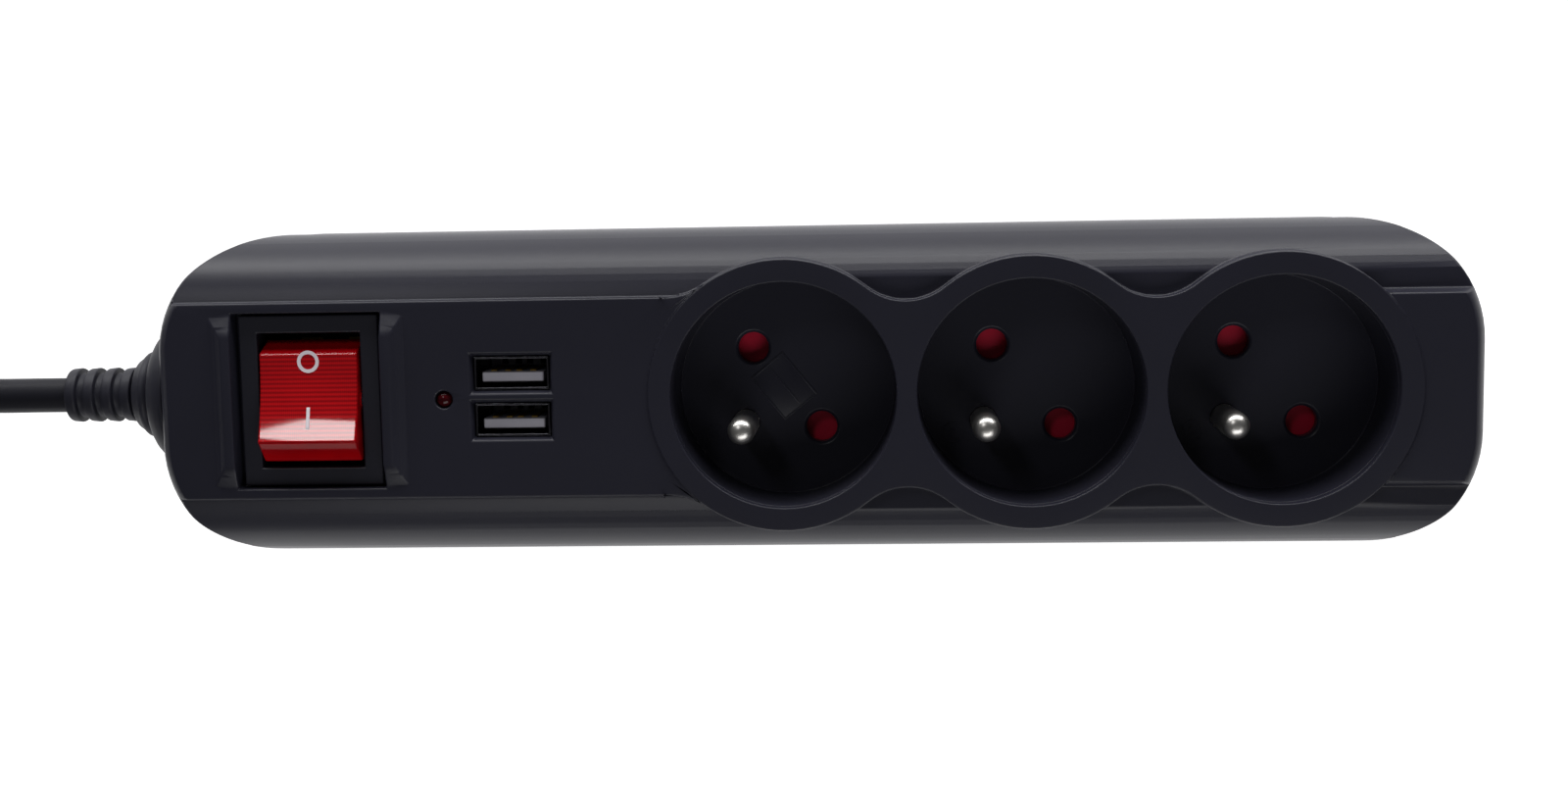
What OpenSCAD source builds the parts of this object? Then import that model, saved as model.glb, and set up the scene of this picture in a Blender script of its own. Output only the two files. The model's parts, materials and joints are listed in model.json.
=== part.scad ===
// Three-way power strip with an illuminated rocker switch and two charging ports.
// X runs along the strip, away from the cord. Z is up from the table, out of the socket face.

/* [Body] */
// Length of the body along X
body_l = 232; // [230:1:236]
// Width of the body across Y, at the parting line
body_w = 58; // [58:0.5:60]
// Height of the socket rims above the table
rim_z = 40; // [40:0.5:42]
// Corner radius of the body seen from above
corner_r = 21; // [20:0.5:22]
// Wall thickness of both covers
wall = 2.2; // [2:0.1:2.4]

/* [Sockets] */
// Distance between neighbouring sockets
pitch = 43; // [43:0.5:44]
// X place of the middle socket
socket_x = 38.5; // [38:0.5:39]
// Radius of the recess at its mouth
mouth_r = 19.75; // [19.6:0.05:19.9]
// Radius of the raised ring around a recess
ring_r = 23.8; // [23.6:0.1:24]
// Depth of the recess
recess_depth = 15; // [15:0.5:16]
// Turn of the two pin holes from the X axis
turn = -50; // [-52:1:-48]
// Distance between the two pin holes
pin_gap = 19; // [19:0.1:19.2]
// Radius of a pin hole
hole_r = 2.75; // [2.7:0.05:2.9]
// Distance of the earth pin from the centre
earth_off = 10; // [10:0.1:10.2]
// Radius of the earth pin
earth_r = 2.4; // [2.35:0.05:2.4]

/* [Switch and ports] */
// X place of the switch
switch_x = -88.5; // [-89:0.5:-88]
// Tilt of the rocker at rest, with its O end pressed
rocker_tilt = 11; // [10:0.5:11]
// X place of the two charging ports
port_x = -52.3; // [-53:0.1:-52]
// X place of the indicator lamp
led_x = -64.3; // [-65:0.1:-64]

/* [Cord] */
// Diameter of the power cord
cord_d = 6.4; // [6.4:0.1:6.6]
// Height of the cord where it leaves the body
cord_z = 24; // [24:0.1:24.2]

/* [Hidden] */
$fn = 48;

charcoal = "#2b2b33";
black = "#1c1c22";
lamp_red = "#c01426";
brass = "#c9a54b";
nickel = "#c9c6c2";
nylon = "#d8d4c8";

// body levels
part_z = 23.6;
shoulder_r = 15;
shoulder_z = rim_z - 16;
panel_z = rim_z - 0.4;
shelf_z = rim_z - 2.5;
ceiling_z = rim_z - 4.4;
panel_half = 17.4;
waist_half = 16.3;
// a fillet between two rings, tangent to both and touching the waist line
waist_r = (pow(pitch / 2, 2) + pow(waist_half, 2) - pow(ring_r, 2)) / (2 * (ring_r - waist_half));
ring_x = [for (i = [-1:1]) socket_x + i * pitch];

// recess levels
floor_z = rim_z - recess_depth;
floor_t = 2.5;
floor_r = mouth_r - 0.35;
lip_t = 2;
cup_r = 21.3;
cage_z = 16.2;

// places within one socket
function polar(r, a) = [r * cos(a), r * sin(a)];
live_at = polar(pin_gap / 2, turn + 180);
neutral_at = polar(pin_gap / 2, turn);
earth_at = polar(earth_off, turn - 90);

// switch levels
well_l = 31.2;
well_w = 26.6;
bezel_l = 30.4;
bezel_w = 25;
bezel_t = 2;
well_z = panel_z - 3.5;
pivot_z = well_z + 0.4;
blade_z = pivot_z - 12;
pole_x = 4.5;

// port levels
port_y = [-3.75, 4.5];
port_w = 13.2;
port_h = 5.8;
port_wall = 0.35;
port_top = panel_z - 1;
board_z = 22;
board_t = 1.6;
board_x0 = -75;
board_l = 45;
board_w = 33;

// hardware places
end_screw_at = [[-106, 16], [-106, -16], [105, 16], [105, -16]];
mid_screw_at = [[17, 21], [17, -21]];
case_screw_at = concat(end_screw_at, mid_screw_at);
keyhole_x = [-60, 103];
clamp_x = -106.7;
board_post_at = [[-72.5, 13.5], [-33.5, 13.5], [-72.5, -13.5], [-33.5, -13.5]];

// cord places: the free cord leaves the relief, then lies on its hank
gland_r = 8;
gland_dome_r = 13.1;
relief_end = -137.5;
cord_r = cord_d / 2;
hank_x = -162;
hank_run = 61.8;
hank_r = 19.2;
hank_z = 0.7;
hank_out = hank_r + 1.5 * cord_d;
hank_mid = hank_x - hank_out;
hank_end = hank_mid - hank_run;
hank_h = 3 * cord_d;
lead_route = [
    [-104, 0, 24], [-120, 0, 24], [-137.5, 0, 24], [-145, 0, 24], [-153, 0, 23.9], [-160, 0.3, 23.6],
    [-167, 1.5, 23.1], [-174, 3.8, 22.4], [-182, 7.5, 21.2], [-190, 11.8, 19.8], [-198, 15.5, 18.4],
    [-206, 18, 17.3], [-215, 19.2, 16.7]
];
tail_route = [
    [-252.6, 25.6, 3.9], [-259, 25.6, 3.8], [-266, 25, 3.6], [-273, 23, 3.5], [-280, 19.6, 3.6],
    [-287, 15.4, 4.2], [-294, 12.2, 5.4], [-301, 10.5, 6.6], [-308, 10, 7.2], [-318, 10, 7.2], [-329, 10, 7.2]
];
plug_at = [-308, 10, 0];
plug_axis_z = 7.2;
plug_relief_l = 22;
plug_l = 52;
plug_w = 36;
plug_t = 13;
plug_face_z = 25;
plug_disc_r = 18.6;
plug_disc_x = -plug_relief_l - 32;

// ---- shared shapes ----

function arc(x, y, r, a0, a1, n) = [for (i = [0:n]) [x, y] + polar(r, a0 + (a1 - a0) * i / n)];

// outline from a corner's own axis out to reach, with its top edge rounded
module edge_profile(reach, z0, z1, edge_r) {
    polygon(concat([[0, z0], [reach, z0]], arc(reach - edge_r, z1 - edge_r, edge_r, 0, 90, 12), [[0, z1]]));
}

// block with round corners in plan and one rounded top edge
module rounded_block(l, w, r, z0, z1, edge_r) {
    mid_l = l - 2 * r;
    mid_w = w - 2 * r;
    for (sx = [0, 1], sy = [0, 1])
        mirror([sx, 0, 0]) mirror([0, sy, 0]) translate([mid_l / 2, mid_w / 2, 0])
            rotate_extrude(angle = 90, $fn = 96) edge_profile(r, z0, z1, edge_r);
    for (sy = [0, 1])
        mirror([0, sy, 0]) translate([-mid_l / 2, mid_w / 2, 0]) rotate([90, 0, 90])
            linear_extrude(mid_l) edge_profile(r, z0, z1, edge_r);
    for (sx = [0, 1])
        mirror([sx, 0, 0]) translate([mid_l / 2, mid_w / 2, 0]) rotate([90, 0, 0])
            linear_extrude(mid_w) edge_profile(r, z0, z1, edge_r);
    translate([-mid_l / 2, -mid_w / 2, z0]) cube([mid_l, mid_w, z1 - z0]);
}

module box(x, y, z0, z1, l, w) {
    translate([x - l / 2, y - w / 2, z0]) cube([l, w, z1 - z0]);
}

module post(at, r, z0, z1) {
    translate([at[0], at[1], z0]) cylinder(r = r, h = z1 - z0);
}

module at_socket(i) {
    translate([ring_x[i], 0, 0]) children();
}

// cap screw with a round head below and a cross recess in it
module screw(at, r, z_head, z_tip) {
    head_h = 1.6;
    difference() {
        union() {
            post(at, r * 2, z_head, z_head + head_h);
            post(at, r, z_head + head_h - 0.1, z_tip);
        }
        box(at[0], at[1], z_head - 1, z_head + 0.8, r * 2.4, 0.7);
        box(at[0], at[1], z_head - 1, z_head + 0.8, 0.7, r * 2.4);
    }
}

// tube swept along a route: each ring's side vector is the last one, turned into the new ring's plane
function unit(v) = v / norm(v);
function heading(p, i) = unit(p[min(i + 1, len(p) - 1)] - p[max(i - 1, 0)]);
function sides(p, i, s) = i == len(p) ? [] :
    let(h = heading(p, i), t = unit(s - (s * h) * h)) concat([t], sides(p, i + 1, t));
function ring_at(c, h, s, r, n) = let(u = cross(h, s))
    [for (k = [0:n - 1]) c + r * (cos(360 * k / n) * s + sin(360 * k / n) * u)];
module tube(p, r, n) {
    last = len(p) - 1;
    side = sides(p, 0, unit(cross([0.3, 0, 1], heading(p, 0))));
    polyhedron(
        points = [for (i = [0:last]) each ring_at(p[i], heading(p, i), side[i], r, n)],
        faces = concat(
            [[for (k = [0:n - 1]) k]],
            [for (i = [0:last - 1], k = [0:n - 1])
                let(a = i * n + k, b = i * n + (k + 1) % n) [a, a + n, b + n, b]],
            [[for (k = [n - 1:-1:0]) last * n + k]]
        )
    );
}

// ---- covers ----

// cross-section of the body above the parting line: wide shoulders under a flat top
module shoulder_profile(reach, r, top) {
    right = arc(reach - r, shoulder_z, r, 0, 90, 18);
    left = [for (k = [len(right) - 1:-1:0]) [-right[k][0], right[k][1]]];
    intersection() {
        polygon(concat([[reach, part_z]], right, left, [[-reach, part_z]]));
        translate([-reach - 1, part_z - 1]) square([2 * reach + 2, top - part_z + 1]);
    }
}

module along_x(x0, x1) {
    translate([x0, 0, 0]) rotate([90, 0, 90]) linear_extrude(x1 - x0) children();
}

// raised faces at both ends; the right-hand one has sloping sides
module end_panels() {
    z0 = ceiling_z - 0.2;
    along_x(-body_l / 2, ring_x[0] - 12) sloped_panel(panel_half + 0.5, panel_half, z0);
    along_x(ring_x[2] + 12, body_l / 2) sloped_panel(panel_half + 0.4, waist_half, z0);
}

module sloped_panel(half_below, half_top, z0) {
    polygon([[-half_below, z0], [-half_top, panel_z], [half_top, panel_z], [half_below, z0]]);
}

// hollow-sided bridge between two rings, tangent to both
module waists() {
    fy = waist_half + waist_r;
    a = atan2(-fy, pitch / 2);
    z0 = ceiling_z - 0.2;
    outline = concat([[-pitch / 2 + 8, -2]], arc(0, fy, waist_r, -180 - a, a, 16), [[pitch / 2 - 8, -2]]);
    for (i = [0, 1], s = [0, 1])
        mirror([0, s, 0]) translate([ring_x[i] + pitch / 2, 0, z0])
            linear_extrude(rim_z - z0) polygon(outline);
}

// the left panel's edges sweep out to the first ring in a hollow curve
module flares() {
    r = 12;
    fy = panel_half + r;
    dx = sqrt(pow(ring_r + r, 2) - pow(fy, 2));
    a = atan2(-fy, dx);
    z0 = ceiling_z - 0.2;
    outline = concat([[-1, 2]], arc(0, fy, r, -93, a, 10), [[dx - 6, 2]]);
    for (s = [0, 1])
        mirror([0, s, 0]) translate([ring_x[0] - dx, 0, z0]) linear_extrude(panel_z - z0) polygon(outline);
}

module upper_body() {
    intersection() {
        union() {
            along_x(-body_l / 2, ring_x[0]) shoulder_profile(body_w / 2, shoulder_r, shoulder_z + 14.5);
            along_x(ring_x[0], body_l / 2) shoulder_profile(body_w / 2, shoulder_r, shelf_z);
            end_panels();
            waists();
            flares();
            for (x = ring_x) post([x, 0], ring_r, 30, rim_z);
        }
        rounded_block(body_l, body_w, corner_r, part_z, rim_z, 4);
    }
}

module cavity() {
    intersection() {
        along_x(-body_l / 2, body_l / 2) shoulder_profile(body_w / 2 - wall, shoulder_r - wall, ceiling_z);
        rounded_block(body_l - 2 * wall, body_w - 2 * wall, corner_r - wall, part_z - 1, ceiling_z + 2, 2.5);
    }
}

// low ridge beside the switch: two steps with sloping ends and a sloping outer flank
module guard(side) {
    inner = well_w / 2 - 0.5;
    long = [[-15.4, -0.2], [-15, 0], [-13.4, 0.6], [-12.8, 0.7], [-11.2, 1.4]];
    far = [for (k = [len(long) - 1:-1:0]) [-long[k][0], long[k][1]]];
    translate([switch_x, 0, panel_z]) intersection() {
        along_x(-30, 30) polygon(concat(long, far));
        rotate([90, 0, 0]) linear_extrude(40, center = true)
            polygon([for (p = [[inner, -0.2], [inner, 1.4], [inner + 2.2, 1.4], [inner + 3.2, 0.7],
                [inner + 3.6, 0.6], [inner + 4.6, 0], [inner + 4.8, -0.2]]) [side * p[0], p[1]]]);
    }
}

module top_cover() {
    color(charcoal) difference() {
        union() {
            difference() {
                upper_body();
                cavity();
            }
            // collars around the sockets
            for (x = ring_x) post([x, 0], ring_r, 33, rim_z - 1);
            guard(-1);
            guard(1);
            // seats under the switch well and around the ports
            box(switch_x, 0, well_z - 2.3, ceiling_z + 0.5, well_w + 4, well_l + 1.6);
            box(port_x, 0.4, 33.5, ceiling_z + 0.5, 18, 19);
            for (p = end_screw_at) post(p, 3.4, part_z + 0.4, ceiling_z + 0.5);
            for (p = mid_screw_at) post(p, 3.2, part_z + 0.4, ceiling_z - 0.8);
            for (p = board_post_at) post(p, 2.6, board_z + board_t + 0.05, ceiling_z + 0.5);
            // cord anchor: two posts for the clamp bar and a rib above the cord
            for (s = [-1, 1]) post([clamp_x, s * 8.2], 2.8, 21.7, ceiling_z + 0.5);
            box(clamp_x, 0, cord_z + cord_r + 0.05, ceiling_z + 0.5, 2.4, 12);
        }
        for (x = ring_x) {
            post([x, 0], mouth_r, 30, rim_z + 1);
            post([x, 0], cup_r + 0.15, 20, rim_z - lip_t);
        }
        // switch well and its cut-out
        box(switch_x, 0, well_z, rim_z + 5, well_w, well_l);
        box(switch_x, 0, 20, rim_z, 22, 28);
        // port cut-outs with a bevelled mouth
        for (y = port_y) {
            box(port_x, y, 20, rim_z, port_w + 0.4, port_h + 0.4);
            translate([port_x, y, panel_z - 1]) mouth_bevel();
        }
        post([led_x, 0], 1.55, 20, rim_z + 1);
        gland_hole();
        for (p = case_screw_at) post(p, 1.3, part_z, 33);
        for (p = board_post_at) post(p, 0.9, 20, 31);
        for (s = [-1, 1]) post([clamp_x, s * 8.2], 1.45, 20, 31);
    }
}

module gland_hole() {
    translate([-body_l / 2 - 12, 0, cord_z]) rotate([0, 90, 0]) cylinder(r = gland_r + 0.05, h = 18);
}

// four-sided bevel that widens a port's mouth upwards
module mouth_bevel() {
    intersection() {
        rotate([90, 0, 0]) linear_extrude(20, center = true) bevel_profile(port_w / 2 + 0.2);
        rotate([90, 0, 90]) linear_extrude(20, center = true) bevel_profile(port_h / 2 + 0.2);
    }
}

module bevel_profile(half) {
    polygon([[-half, 0], [half, 0], [half + 0.6, 1.2], [-half - 0.6, 1.2]]);
}

module base_cover() {
    color(charcoal) difference() {
        union() {
            mirror([0, 0, 1]) difference() {
                rounded_block(body_l - 0.6, body_w - 0.6, corner_r - 0.3, -part_z + 0.05, 0, 4);
                rounded_block(body_l - 2 * wall, body_w - 2 * wall, corner_r - wall, -part_z - 1, -wall, 2);
            }
            // lip that locates the top cover from inside
            for (s = [-1, 1]) box(0, s * (body_w / 2 - wall - 0.6), 18, part_z + 1.2, body_l - 60, 1);
            for (s = [-1, 1]) box(0, s * (body_w / 2 - wall - 0.2), 18, 20, body_l - 60, 1);
            for (p = case_screw_at) post(p, 4.4, 1, part_z + 0.2);
            for (x = keyhole_x) box(x, 0, 1, 6.5, 15, 12);
        }
        for (p = case_screw_at) {
            post(p, 1.7, -1, part_z + 1);
            post(p, 3.3, -1, 14);
        }
        for (x = keyhole_x) {
            // screw-head entry, neck slot, and room for the head above the neck
            post([x - 3, 0], 4, -1, 5);
            box(x, 0, -1, 5, 6, 4.1);
            post([x + 3, 0], 2.1, -1, 5);
            box(x, 0, wall, 5, 6, 7.9);
            post([x + 3, 0], 4, wall, 5);
        }
        gland_hole();
    }
}

// ---- sockets ----

module socket_insert(i) {
    color(charcoal) at_socket(i) difference() {
        union() {
            post([0, 0], cup_r, floor_z - floor_t, rim_z - lip_t - 0.05);
            // skirt around the shutter
            post([0, 0], 15.2, cage_z, floor_z - 1);
        }
        translate([0, 0, floor_z]) cylinder(r1 = floor_r, r2 = mouth_r, h = recess_depth);
        post([0, 0], 14, cage_z - 1, floor_z - floor_t);
        for (p = [live_at, neutral_at]) {
            post(p, hole_r, 20, floor_z + 1);
            translate([p[0], p[1], floor_z - 0.5]) cylinder(r1 = hole_r, r2 = hole_r + 0.6, h = 0.6);
        }
        post(earth_at, earth_r + 0.03, 20, floor_z + 1);
    }
    // pivot of the shutter, hung from the recess floor
    color(charcoal) at_socket(i) post([0, 0], 1.8, cage_z + 1.6, floor_z - floor_t + 0.1);
}

module shutter_cage(i) {
    color(nylon) at_socket(i) difference() {
        post([0, 0], 13.9, cage_z, cage_z + 1.4);
        for (p = [live_at, neutral_at]) post(p, 3.2, cage_z - 1, cage_z + 3);
        post(earth_at, 3.4, cage_z - 1, cage_z + 3);
    }
}

// two-armed plate that covers both pin holes and turns about the recess floor's pivot
module shutter(i) {
    z0 = 19.8;
    z1 = 21.9;
    color(lamp_red) at_socket(i) difference() {
        union() {
            post([0, 0], 3.4, z0, z1);
            for (p = [live_at, neutral_at]) post(p, 3.6, z0, z1);
            rotate(turn) box(0, 0, z0, z1, pin_gap, 5);
        }
        post([0, 0], 1.85, z0 - 1, z1 + 1);
    }
}

module shutter_spring(i) {
    // three close turns around the pivot, with a straight leg
    turns = 3;
    steps = 12;
    rise = 0.48;
    helix = [for (k = [0:turns * steps])
        [2.7 * cos(360 * k / steps), 2.7 * sin(360 * k / steps), 17.95 + rise * k / steps]];
    leg = [for (d = [2, 4, 6]) helix[len(helix) - 1] + [0, d, 0]];
    color(nickel) at_socket(i) rotate(-20) tube(concat(helix, leg), 0.22, 6);
}

module earth_pin(i) {
    tip = floor_z + 14;
    dome = earth_r - 0.2;
    stem_r = earth_r - 0.5;
    step = floor_z + 0.2;
    foot = [[0, 11.1], [2.6, 11.1], [2.6, 11.9], [1.5, 11.9], [1.5, 21], [3.1, 21], [3.1, 22.4]];
    color(nickel) at_socket(i) translate([earth_at[0], earth_at[1], 0]) rotate_extrude()
        polygon(concat(foot, [[stem_r, 22.4], [stem_r, step], [earth_r, step]],
            arc(earth_r - dome, tip - dome, dome, 0, 88, 8), [[0, tip]]));
}

// ---- contacts ----

module contact_clip(at, z0) {
    for (s = [-1, 1]) {
        box(at[0], at[1] + s * 2.75, z0, 15.6, 6, 0.7);
        // lead-in lip, bent outwards
        box(at[0], at[1] + s * 3.1, 14.8, 15.6, 6, 1.2);
    }
    box(at[0], at[1], z0, z0 + 0.8, 6, 6.2);
}

module busbar(at) {
    first = ring_x[0] + at[0];
    last = ring_x[2] + at[0];
    color(brass) {
        box((first + last) / 2 - 5, at[1], 4, 4.8, last - first + 16, 6.2);
        for (i = [0:2]) contact_clip([ring_x[i] + at[0], at[1]], 4);
    }
}

module live_busbar() {
    busbar(live_at);
}

module neutral_busbar() {
    busbar(neutral_at);
}

module earth_busbar() {
    y = -14.2;
    first = ring_x[0] + earth_at[0];
    last = ring_x[2] + earth_at[0];
    color(brass) difference() {
        union() {
            box((first + last) / 2 - 3, y, 12, 12.8, last - first + 12, 4);
            for (x = ring_x)
                box(x + earth_at[0], (y + earth_at[1]) / 2 + 1, 12, 12.8, 5.6, earth_at[1] - y + 5);
        }
        for (x = ring_x) post([x + earth_at[0], earth_at[1]], 1.55, 11, 14);
    }
}

module contact_tray() {
    l = 2 * pitch + 26;
    color(nylon) {
        box(socket_x, 0, wall + 0.1, 3.9, l, 32);
        // barrier between the live and neutral bars, and the earth bar's support
        box(socket_x, 0, 3.8, 11, l, 4);
        box(socket_x, -14.2, 3.8, 11.9, l, 2);
    }
}

// ---- switch ----

module switch_housing() {
    color(black) translate([switch_x, 0, 0]) difference() {
        union() {
            box(0, 0, well_z + 0.05, well_z + bezel_t, bezel_w, bezel_l);
            box(0, 0, 16.5, well_z + 0.1, 21.6, 27.6);
            // snap ridges that hold the housing behind the panel
            for (s = [-1, 1]) box(0, s * 13.9, well_z - 4.2, well_z - 2.5, 8, 1);
        }
        box(0, 0, 18, rim_z, 18.4, 24);
        translate([-10, 0, pivot_z]) rotate([0, 90, 0]) cylinder(r = 1.55, h = 20);
        for (s = [-1, 1], y = [0, 7.5]) box(s * pole_x, y, 10, 19, 1, 5);
    }
}

module switch_rocker() {
    w = 17.6;
    // hollow top face, slanting ends down to an arc about the pivot, then the underside
    dish_r = 38;
    dish_a = 12;
    top = arc(0, 2.9 + dish_r, dish_r, -90 + dish_a, -90 - dish_a, 12);
    end_r = 10.9;
    left = arc(0, 0, end_r, 183, 189, 2);
    right = arc(0, 0, end_r, -9, -3, 2);
    color(lamp_red) translate([switch_x, 0, pivot_z]) rotate([-rocker_tilt, 0, 0]) {
        rotate([90, 0, 90]) linear_extrude(w, center = true)
            polygon(concat(top, left, [[-9, -4], [9, -4]], right));
        translate([-w / 2 - 0.9, 0, 0]) rotate([0, 90, 0]) cylinder(r = 1.5, h = w + 1.8);
    }
}

module switch_plungers() {
    color(nylon) translate([switch_x, 0, pivot_z]) rotate([-rocker_tilt, 0, 0])
        for (s = [-1, 1]) translate([s * pole_x, 0, 0]) {
            translate([0, 0, -10.1]) cylinder(r = 1.2, h = 6.05);
            translate([0, 0, -10.1]) sphere(r = 1.2);
        }
}

module switch_blades() {
    tilt = rocker_tilt * 6 / 11;
    color(brass) translate([switch_x, 0, blade_z]) rotate([tilt, 0, 0])
        for (s = [-1, 1]) translate([s * pole_x, 0, 0]) {
            box(0, 0, -0.4, 0.4, 4, 17);
            // round knuckle on the rocking axis
            rotate([0, 90, 0]) cylinder(r = 0.6, h = 4, center = true);
            post([0, 7.2], 1.2, -1.1, -0.3);
        }
}

module switch_terminals() {
    color(brass) for (s = [-1, 1]) translate([switch_x + s * pole_x, 0, 0]) {
        // fixed contact under the free end of the blade
        box(0, 7.5, 12, 20.4, 0.8, 4.8);
        box(0, 7.5, 20.3, 21.1, 4, 4.8);
        post([0, 7.2], 1.2, 21, 22.2);
        // fulcrum
        box(0, 0, 12, blade_z - 1.5, 0.8, 4.8);
        box(0, 0, blade_z - 2.2, blade_z - 0.9, 4, 3);
    }
}

module switch_lamp() {
    translate([switch_x, -9, 20.4]) {
        color("#f0a060") rotate([0, 90, 0]) cylinder(r = 1.9, h = 8, center = true);
        color(nickel) rotate([0, 90, 0]) cylinder(r = 0.25, h = 13.8, center = true);
    }
}

// ---- charging board ----

module usb_board() {
    color("#1f5a3a") difference() {
        box(board_x0 + board_l / 2, 0, board_z, board_z + board_t, board_l, board_w);
        for (p = board_post_at) post(p, 1.2, board_z - 1, board_z + 3);
    }
}

module usb_shell(y) {
    color(nickel) difference() {
        box(port_x, y, board_z + board_t + 0.05, port_top, port_w, port_h);
        box(port_x, y, board_z + board_t + 1, port_top + 1, port_w - 2 * port_wall, port_h - 2 * port_wall);
    }
}

module usb_tongues() {
    color("#26262b") for (y = port_y) {
        box(port_x, y - 0.75, board_z + board_t + 2.5, port_top - 1.2, 11, 1.85);
        box(port_x, y, board_z + board_t + 1.05, board_z + board_t + 2.6, 12.3, 4.9);
    }
}

module usb_contacts() {
    color(brass) for (y = port_y, x = [-3.5, -1, 1, 3.5])
        box(port_x + x, y + 0.3, board_z + board_t + 2.7, port_top - 2, 1, 0.2);
}

module usb_transformer() {
    color("#d9b13a") box(-58, -6, 9, board_z - 0.05, 13, 14);
    color("#202024") box(-58, -6, 12, 19, 16, 17);
}

module usb_capacitors() {
    color("#1d2740") for (p = [[-41, 8], [-41, -6]]) post(p, 4, 10, board_z - 0.05);
}

module led_indicator() {
    top = panel_z + 0.1;
    color(lamp_red) {
        post([led_x, 0], 1.5, 32, top - 1.5);
        intersection() {
            translate([led_x, 0, top - 1.5]) sphere(r = 1.5);
            box(led_x, 0, top - 1.5, top + 1, 4, 4);
        }
        post([led_x, 0], 1.9, 31.2, 32.1);
    }
    color(nickel) for (s = [-1, 1]) box(led_x + s * 0.65, 0, board_z + board_t + 0.05, 31.3, 0.5, 0.5);
}

module board_screws() {
    color(nickel) for (p = board_post_at) screw(p, 0.85, board_z - 1.65, 30);
}

// ---- cord entry ----

// domed ring around the relief, held by a flange inside the end wall
module cable_gland() {
    end = body_l / 2;
    bore = 5.1;
    flange = gland_r + 1.5;
    inside = end - wall - 0.15;
    back = end - 3.9;
    inner = [[bore, back], [flange, back], [flange, inside], [gland_r, inside], [gland_r, end - 1]];
    round_top = arc(gland_r - 0.2, end - 0.8, 5.3, 8, 84, 7);
    dome = concat([[gland_dome_r, end - 1]], round_top, [[bore, end + 4.4]]);
    color(black) difference() {
        translate([0, 0, cord_z]) rotate([0, -90, 0]) rotate_extrude($fn = 64) polygon(concat(inner, dome));
        difference() {
            rounded_block(body_l + 0.1, body_w + 0.1, corner_r, 0, rim_z + 5, 4);
            translate([-end - 1, 0, cord_z]) rotate([0, 90, 0]) cylinder(r = gland_r + 0.02, h = wall + 2);
            translate([-end + wall + 0.1, -20, 0]) cube([20, 40, 50]);
        }
    }
}

module strain_relief() {
    end = body_l / 2;
    flange_at = end - 6.2;
    core_r = 3.9;
    collar = concat([[0, end + 4.5], [7.2, end + 4.5]], arc(6.9, end + 5.9, 1, -50, 70, 6));
    color(black) translate([0, 0, cord_z]) rotate([0, -90, 0]) difference() {
        union() {
            // flange inside the body, neck through the gland, round collar outside
            translate([0, 0, flange_at]) cylinder(r = 7, h = 1.6);
            translate([0, 0, flange_at]) cylinder(r = 5, h = 11.5);
            rotate_extrude() polygon(concat(collar, [[6.2, end + 8.3], [0, end + 8.3]]));
            cylinder(r = core_r, h = -relief_end);
            for (k = [0:3]) translate([0, 0, end + 9.2 + 3.43 * k]) cylinder(r1 = 5.05, r2 = 4.85, h = 2);
        }
        translate([0, 0, -1]) cylinder(r = cord_r + 0.02, h = 200);
        // inside the body only the cord itself goes on
        translate([0, 0, -1]) cylinder(r = 20, h = flange_at + 1);
    }
}

module cord_clamp() {
    color(nylon) difference() {
        box(clamp_x, 0, 17.4, 21.6, 5, 22);
        translate([clamp_x - 10, 0, cord_z]) rotate([0, 90, 0]) cylinder(r = cord_r + 0.05, h = 20);
        for (s = [-1, 1]) post([clamp_x, s * 8.2], 1.5, 10, 30);
    }
}

module clamp_screws() {
    color(nickel) for (s = [-1, 1]) screw([clamp_x, s * 8.2], 1.4, 15.75, 30);
}

module case_screws() {
    color(nickel) for (p = case_screw_at) screw(p, 1.25, 12.3, 32);
}

// ---- inner wires ----

module wire(route, tint) {
    color(tint) tube(route, 1.3, 8);
}

module wire_live_in() {
    wire([[-103.9, 1.6, 25], [-102.6, 1.6, 25], [-101.7, 5, 25.2], [-101.7, 8.6, 22], [-101.7, 9.6, 14],
        [-99.8, 9.6, 9.4], [-96.5, 8.8, 7.4], [-93.8, 7.7, 8], [-93, 7.5, 10.2],
        [-93, 7.5, 11.9]], "#6b3f22");
}

module wire_neutral_in() {
    wire([[-103.9, -1.6, 25], [-102.6, -1.6, 25], [-101.7, -5, 25.2], [-101.7, -9, 22], [-101.7, -9.3, 13],
        [-99.5, -8, 8.4], [-94, -5, 7.4], [-88.5, 0, 7.2], [-84.8, 5.5, 7.4], [-84, 7.5, 9.6],
        [-84, 7.5, 11.9]], "#2a58a8");
}

module wire_earth() {
    wire([[-103.9, 0, 22.3], [-102.7, 0, 22.3], [-101.7, 0, 20], [-101.7, 0, 14], [-101.5, -2, 8],
        [-100, -7, 4], [-94, -15, 4], [-80, -20.5, 4], [-50, -21, 4], [-28, -19.5, 4.6],
        [-20.5, -16, 6.2], [-19, -14.2, 8.6], [-19, -14.2, 11.9]], "#7d9a2c");
}

module wire_live_out() {
    wire([[-93, 0, 11.9], [-93, 0, 9.6], [-92, 3, 6], [-89, 8, 4.2], [-80, 12.5, 4], [-60, 15, 4],
        [-38, 12, 4.6], [-28, 7.6, 6], [-22, 7.28, 6.3]], "#6b3f22");
}

module wire_neutral_out() {
    wire([[-84, 0, 11.9], [-84, 0, 9.6], [-82, -4, 6], [-76, -8, 4.2], [-60, -14, 4], [-38, -13, 4.6],
        [-26, -9.5, 5.4], [-19, -7.4, 6.2], [-10, -7.28, 6.3]], "#2a58a8");
}

// ---- free cord and plug ----

module power_cord() {
    color(black) tube(lead_route, cord_r, 12);
}

module cord_tail() {
    color(black) tube(tail_route, cord_r, 12);
}

module stadium(r, h) {
    linear_extrude(h) polygon(concat(arc(hank_mid, 0, r, -90, 90, 24), arc(hank_end, 0, r, 90, 270, 24)));
}

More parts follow.
